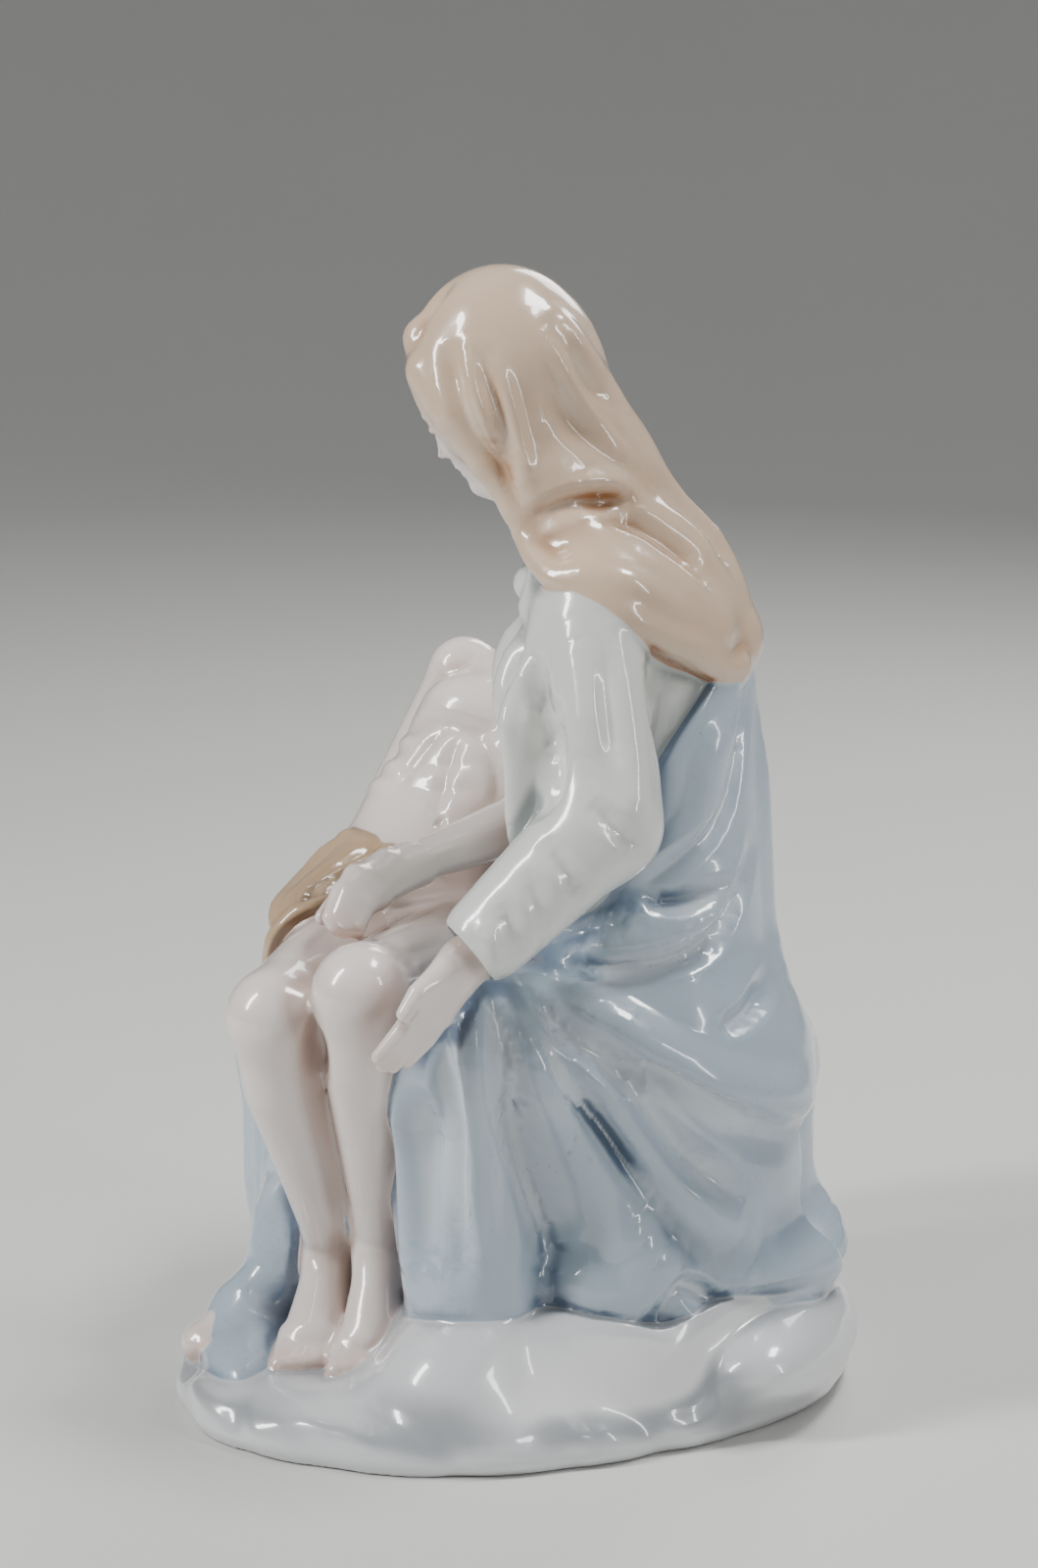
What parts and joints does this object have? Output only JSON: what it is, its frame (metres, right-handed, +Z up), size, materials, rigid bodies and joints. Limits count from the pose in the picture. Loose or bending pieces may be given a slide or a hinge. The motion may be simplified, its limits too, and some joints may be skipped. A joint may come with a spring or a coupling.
{
  "type": "porcelain pieta statuette",
  "caption": "Glazed porcelain pieta group: a seated, veiled mother on a low oval rock base holds her dead son across her lap",
  "frame": {"origin": "centre of the flat underside of the rock base", "axes": "+Z up, the mother faces -Y, her left side is +X"},
  "size_m": [0.1915, 0.1947, 0.32],
  "materials": {
    "glazed_porcelain": "clear gloss glaze over soft pastel underglaze colours"
  },
  "bodies": {
    "root": {"pieta_group": "glazed_porcelain"}
  },
  "joints": []
}
